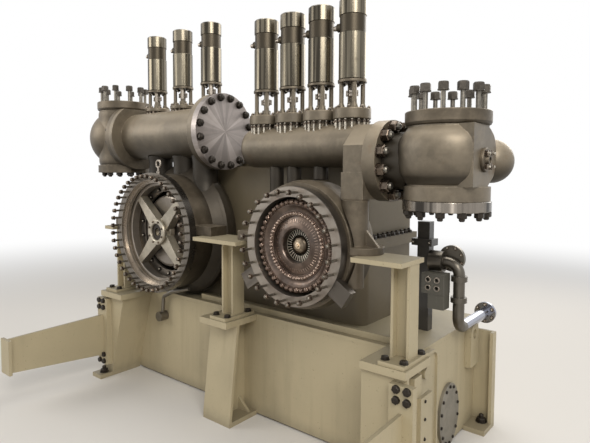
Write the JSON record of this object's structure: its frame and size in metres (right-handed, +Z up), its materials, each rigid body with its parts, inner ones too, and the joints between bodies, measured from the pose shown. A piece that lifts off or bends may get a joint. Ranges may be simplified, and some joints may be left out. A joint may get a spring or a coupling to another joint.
{
  "type": "geared steam turbine",
  "caption": "Steam turbine casings on a shared gearbox and oil tank frame, with valve chests, upright actuators and stop valves above",
  "frame": {"origin": "centre of the rectangle of the four foundation bolts, on the floor under the feet", "axes": "+X towards the high pressure side, along the row of casings; turbine faces look to -Y; +Z up"},
  "size_m": [3.3659, 1.96, 2.64],
  "materials": {
    "actuator_steel": "brushed steel",
    "bare_plate": "rubbed steel plate",
    "black_block": "black coated block",
    "brass_nose": "turned brass",
    "bright_flange": "turned steel",
    "bright_steel": "turned steel",
    "bronze_disc": "oiled bronze",
    "cast_steel": "heat treated casting",
    "chest_steel": "heat treated casting with rust",
    "cream_paint": "satin paint with oil runs",
    "drain_steel": "drawn tube",
    "gearbox_paint": "satin paint with oil runs",
    "spider_iron": "milled casting",
    "turned_ring": "turned casting",
    "yoke_steel": "machined steel"
  },
  "bodies": {
    "frame": {"base_floor_sheet": "cream_paint", "base_front_panel": "cream_paint", "base_left_end": "cream_paint", "base_rear_panel": "cream_paint", "base_right_end": "cream_paint", "crossover_pipe": "gearbox_paint", "deck_plate": "cream_paint", "drain_pipe": "drain_steel", "gearbox_lower": "gearbox_paint", "gearbox_upper": "gearbox_paint", "high_actuator_1": "actuator_steel", "high_actuator_2": "actuator_steel", "high_actuator_3": "actuator_steel", "high_actuator_4": "actuator_steel", "high_admission_tubes": "cast_steel", "high_casing": "cast_steel", "high_chest": "chest_steel", "high_front_ring": "cast_steel", "high_guide_vanes": "bronze_disc", "high_inlet_flange": "bright_flange", "high_nozzle_disc": "bronze_disc", "high_side_pipe": "cast_steel", "high_stop_valve_body": "cast_steel", "high_stop_valve_cover": "cast_steel", "high_valve_bonnets": "chest_steel", "high_valve_end_cap": "cast_steel", "high_valve_yokes": "yoke_steel", "left_column": "cream_paint", "left_leg": "cream_paint", "left_outrigger": "cream_paint", "low_actuator_1": "actuator_steel", "low_actuator_2": "actuator_steel", "low_actuator_3": "actuator_steel", "low_admission_tubes": "cast_steel", "low_bearing_spider": "spider_iron", "low_blind_flange": "bright_flange", "low_casing": "cast_steel", "low_chest": "chest_steel", "low_diffuser": "cast_steel", "low_front_ring": "turned_ring", "low_spider_ring": "spider_iron", "low_stop_valve_body": "cast_steel", "low_stop_valve_cover": "cast_steel", "low_valve_bonnets": "chest_steel", "low_valve_yokes": "yoke_steel", "manhole_cover": "bare_plate", "middle_column": "cream_paint", "middle_leg": "cream_paint", "oil_block": "black_block", "oil_pipe": "drain_steel", "oil_post": "black_block", "output_hub": "bright_steel", "rear_left_leg": "cream_paint", "rear_right_leg": "cream_paint", "right_column": "cream_paint", "right_leg": "cream_paint", "right_outrigger": "cream_paint"},
    "high_shaft": {"high_rotor": "brass_nose"},
    "low_shaft": {"low_rotor": "bright_steel"}
  },
  "joints": [
    {"name": "high_rotor_spin", "type": "hinge", "parent": "frame", "child": "high_shaft", "pos_m": [0.565, -0.3, 1.184], "axis": [0, -1, 0], "continuous": true},
    {"name": "low_rotor_spin", "type": "hinge", "parent": "frame", "child": "low_shaft", "pos_m": [-0.712, -0.3, 1.16], "axis": [0, -1, 0], "continuous": true}
  ]
}
